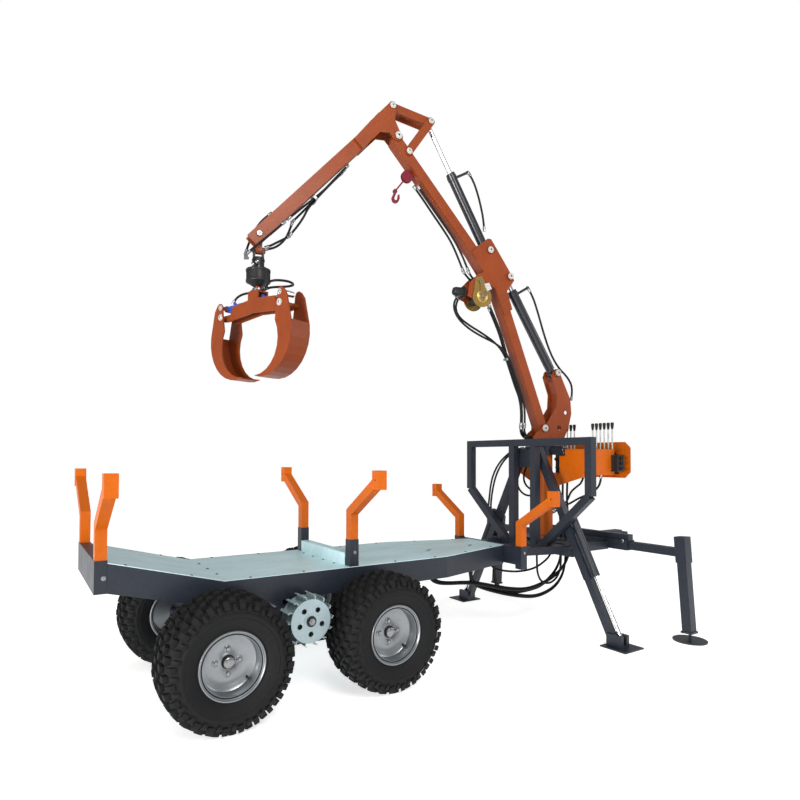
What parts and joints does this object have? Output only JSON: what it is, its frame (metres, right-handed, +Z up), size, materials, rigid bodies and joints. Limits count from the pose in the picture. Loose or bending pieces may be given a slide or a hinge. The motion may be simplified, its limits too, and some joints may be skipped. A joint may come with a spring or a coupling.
{
  "type": "forestry trailer with loading crane",
  "caption": "Timber trailer on walking-beam axles, with stakes, a headboard, stabiliser legs, outriggers and a slewing, folding loader crane with a grapple.",
  "frame": {"origin": "centre of the parked trailer's bounding box, on the ground", "axes": "+X ahead towards the towing vehicle, +Y to the left, +Z up"},
  "size_m": [3.8654, 1.844, 3.403],
  "materials": {
    "frame_grey": "satin paint",
    "orange": "gloss paint",
    "crane_orange": "gloss paint",
    "galvanised": "hot-dip galvanised",
    "rim_silver": "silver paint",
    "tyre_black": "tread rubber",
    "cylinder_black": "gloss paint",
    "chrome": "polished",
    "zinc": "yellow zinc plate",
    "cast_black": "black",
    "lever": "black knobs on plated stems",
    "crimson": "gloss paint",
    "blue": "gloss paint",
    "hose_black": "hose rubber"
  },
  "bodies": {
    "trailer": {"bed_frame": "frame_grey", "deck": "galvanised", "middle_bolster": "frame_grey", "bogie_shaft": "frame_grey", "headboard": "frame_grey", "crane_subframe": "frame_grey", "drawbar": "frame_grey", "stabiliser_frame": "frame_grey", "stabiliser_barrels": "frame_grey", "crane_column": "orange", "slew_housing": "frame_grey", "valve_console": "crane_orange", "valve_bank": "cast_black", "valve_levers": "lever", "stakes": "orange"},
    "bogie_left": {"bogie_beam_left": "frame_grey"},
    "wheel_left_front": {"tyre_left_front": "tyre_black", "rim_left_front": "rim_silver"},
    "wheel_left_rear": {"tyre_left_rear": "tyre_black", "rim_left_rear": "rim_silver"},
    "roller_left": {"drive_roller_left": "galvanised"},
    "stabiliser_left": {"stabiliser_leg_left": "frame_grey", "stabiliser_rod_left": "chrome"},
    "outrigger_left": {"outrigger_arm_left": "frame_grey"},
    "jack_left": {"jack_leg_left": "frame_grey"},
    "bogie_right": {"bogie_beam_right": "frame_grey"},
    "wheel_right_front": {"tyre_right_front": "tyre_black", "rim_right_front": "rim_silver"},
    "wheel_right_rear": {"tyre_right_rear": "tyre_black", "rim_right_rear": "rim_silver"},
    "roller_right": {"drive_roller_right": "galvanised"},
    "stabiliser_right": {"stabiliser_leg_right": "frame_grey", "stabiliser_rod_right": "chrome"},
    "outrigger_right": {"outrigger_arm_right": "frame_grey"},
    "jack_right": {"jack_leg_right": "frame_grey"},
    "kingpost": {"kingpost": "crane_orange"},
    "boom": {"main_boom": "crane_orange", "winch": "zinc", "load_hook": "crimson", "hoses_boom": "hose_black"},
    "lift_barrel": {"lift_barrel": "cylinder_black", "hose_lift": "hose_black"},
    "lift_rod": {"lift_rod": "chrome"},
    "jib": {"jib": "crane_orange", "hoses_jib": "hose_black"},
    "rocker": {"lower_link": "crane_orange"},
    "strap": {"upper_link": "crane_orange"},
    "fold_barrel": {"fold_barrel": "cylinder_black", "hose_fold": "hose_black"},
    "fold_rod": {"fold_rod": "chrome"},
    "hanger": {"hanger_link": "crane_orange", "hoses_hanger": "hose_black"},
    "rotator": {"rotator": "cast_black"},
    "grapple": {"grapple_frame": "crane_orange"},
    "jaw_left": {"jaw_left": "crane_orange"},
    "jaw_right": {"jaw_right": "crane_orange"},
    "grapple_barrel": {"grapple_barrel": "blue"},
    "grapple_rod": {"grapple_rod": "chrome"}
  },
  "joints": [
    {"name": "bogie_left_tilt", "type": "hinge", "parent": "trailer", "child": "bogie_left", "pos_m": [-1.05525, 0.262, 0.376], "axis": [0, 1, 0], "range_deg": [-12, 12]},
    {"name": "wheel_left_front_spin", "type": "hinge", "parent": "bogie_left", "child": "wheel_left_front", "pos_m": [-0.66025, 0.453, 0.2795], "axis": [0, 1, 0], "continuous": true},
    {"name": "wheel_left_rear_spin", "type": "hinge", "parent": "bogie_left", "child": "wheel_left_rear", "pos_m": [-1.45025, 0.453, 0.2795], "axis": [0, 1, 0], "continuous": true},
    {"name": "roller_left_spin", "type": "hinge", "parent": "trailer", "child": "roller_left", "pos_m": [-1.05525, 0.4, 0.376], "axis": [0, 1, 0], "continuous": true},
    {"name": "stabiliser_left_lift", "type": "slide", "parent": "trailer", "child": "stabiliser_left", "axis": [0, -0.4446, 0.8957], "range_m": [0, 0.28]},
    {"name": "outrigger_left_retract", "type": "slide", "parent": "trailer", "child": "outrigger_left", "axis": [0, -1, 0], "range_m": [0, 0.25]},
    {"name": "jack_left_lift", "type": "slide", "parent": "outrigger_left", "child": "jack_left", "axis": [0, -0.068, 0.9977], "range_m": [0, 0.35]},
    {"name": "bogie_right_tilt", "type": "hinge", "parent": "trailer", "child": "bogie_right", "pos_m": [-1.05525, -0.262, 0.376], "axis": [0, 1, 0], "range_deg": [-12, 12]},
    {"name": "wheel_right_front_spin", "type": "hinge", "parent": "bogie_right", "child": "wheel_right_front", "pos_m": [-0.66025, -0.453, 0.2795], "axis": [0, 1, 0], "continuous": true},
    {"name": "wheel_right_rear_spin", "type": "hinge", "parent": "bogie_right", "child": "wheel_right_rear", "pos_m": [-1.45025, -0.453, 0.2795], "axis": [0, 1, 0], "continuous": true},
    {"name": "roller_right_spin", "type": "hinge", "parent": "trailer", "child": "roller_right", "pos_m": [-1.05525, -0.4, 0.376], "axis": [0, 1, 0], "continuous": true},
    {"name": "stabiliser_right_lift", "type": "slide", "parent": "trailer", "child": "stabiliser_right", "axis": [0, 0.4446, 0.8957], "range_m": [0, 0.28]},
    {"name": "outrigger_right_retract", "type": "slide", "parent": "trailer", "child": "outrigger_right", "axis": [0, 1, 0], "range_m": [0, 0.25]},
    {"name": "jack_right_lift", "type": "slide", "parent": "outrigger_right", "child": "jack_right", "axis": [0, 0.068, 0.9977], "range_m": [0, 0.35]},
    {"name": "slew", "type": "hinge", "parent": "trailer", "child": "kingpost", "pos_m": [1.00675, 0, 1.236], "axis": [0, 0, 1], "range_deg": [-93, 117]},
    {"name": "boom_lower", "type": "hinge", "parent": "kingpost", "child": "boom", "pos_m": [0.96273, 0.00936, 1.328], "axis": [-0.2079, -0.9781, 0], "range_deg": [-4, 20]},
    {"name": "lift_barrel_turn", "type": "hinge", "parent": "kingpost", "child": "lift_barrel", "pos_m": [1.06935, -0.01331, 1.722], "axis": [-0.2079, -0.9781, 0], "range_deg": [-6.14, 26.68]},
    {"name": "lift_rod_stroke", "type": "slide", "parent": "lift_barrel", "child": "lift_rod", "axis": [-0.5048, 0.1073, 0.8566], "range_m": [-0.02565, 0.12023]},
    {"name": "jib_out", "type": "hinge", "parent": "boom", "child": "jib", "pos_m": [-0.12399, 0.24035, 3.188], "axis": [0.2079, 0.9781, 0], "range_deg": [-35, 50]},
    {"name": "rocker_turn", "type": "hinge", "parent": "boom", "child": "rocker", "pos_m": [-0.05161, 0.22496, 3.099], "axis": [-0.2079, -0.9781, 0], "range_deg": [-37.91, 26.84]},
    {"name": "strap_turn", "type": "hinge", "parent": "jib", "child": "strap", "pos_m": [-0.16409, 0.24887, 3.376], "axis": [-0.2079, -0.9781, 0], "range_deg": [-16.95, 23.78]},
    {"name": "fold_barrel_turn", "type": "hinge", "parent": "boom", "child": "fold_barrel", "pos_m": [0.53822, 0.09959, 2.531], "axis": [-0.2079, -0.9781, 0], "range_deg": [-4.38, 3.37]},
    {"name": "fold_rod_stroke", "type": "slide", "parent": "fold_barrel", "child": "fold_rod", "axis": [-0.4772, 0.1014, 0.8729], "range_m": [-0.16878, 0.11874]},
    {"name": "hanger_swing", "type": "hinge", "parent": "jib", "child": "hanger", "pos_m": [-0.98672, 0.42372, 2.436], "axis": [-0.2079, -0.9781, 0], "range_deg": [-60, 60]},
    {"name": "rotator_sway", "type": "hinge", "parent": "hanger", "child": "rotator", "pos_m": [-0.98672, 0.42372, 2.342], "axis": [-0.9781, 0.2079, 0], "range_deg": [-30, 30]},
    {"name": "grapple_rotate", "type": "hinge", "parent": "rotator", "child": "grapple", "pos_m": [-0.98672, 0.42372, 2.128], "axis": [0, 0, 1], "continuous": true},
    {"name": "jaws_open", "type": "hinge", "parent": "grapple", "child": "jaw_left", "pos_m": [-1.06941, 0.686, 1.975], "axis": [0.9537, 0.3007, 0], "range_deg": [0, 55]},
    {"name": "jaw_right_open", "type": "hinge", "parent": "grapple", "child": "jaw_right", "pos_m": [-0.90402, 0.16145, 1.975], "axis": [-0.9537, -0.3007, 0], "range_deg": [-1, 56]},
    {"name": "grapple_barrel_turn", "type": "hinge", "parent": "jaw_left", "child": "grapple_barrel", "pos_m": [-1.06941, 0.686, 2.034], "axis": [0.9537, 0.3007, 0], "range_deg": [-56, 1]},
    {"name": "grapple_rod_stroke", "type": "slide", "parent": "grapple_barrel", "child": "grapple_rod", "axis": [-0.3007, 0.9537, 0], "range_m": [-0.002, 0.10469]}
  ],
  "couplings": [
    {"joint": "lift_barrel_turn", "follows": "boom_lower", "ratio": 1.2841},
    {"joint": "lift_rod_stroke", "follows": "boom_lower", "m_per_rad": 0.3387},
    {"joint": "rocker_turn", "follows": "jib_out", "ratio": -0.73826},
    {"joint": "strap_turn", "follows": "jib_out", "ratio": 0.45562},
    {"joint": "fold_barrel_turn", "follows": "jib_out", "ratio": -0.0676},
    {"joint": "fold_rod_stroke", "follows": "jib_out", "m_per_rad": -0.19111},
    {"joint": "jaw_right_open", "follows": "jaws_open", "ratio": 1},
    {"joint": "grapple_barrel_turn", "follows": "jaws_open", "ratio": -1},
    {"joint": "grapple_rod_stroke", "follows": "jaws_open", "m_per_rad": 0.10698}
  ]
}
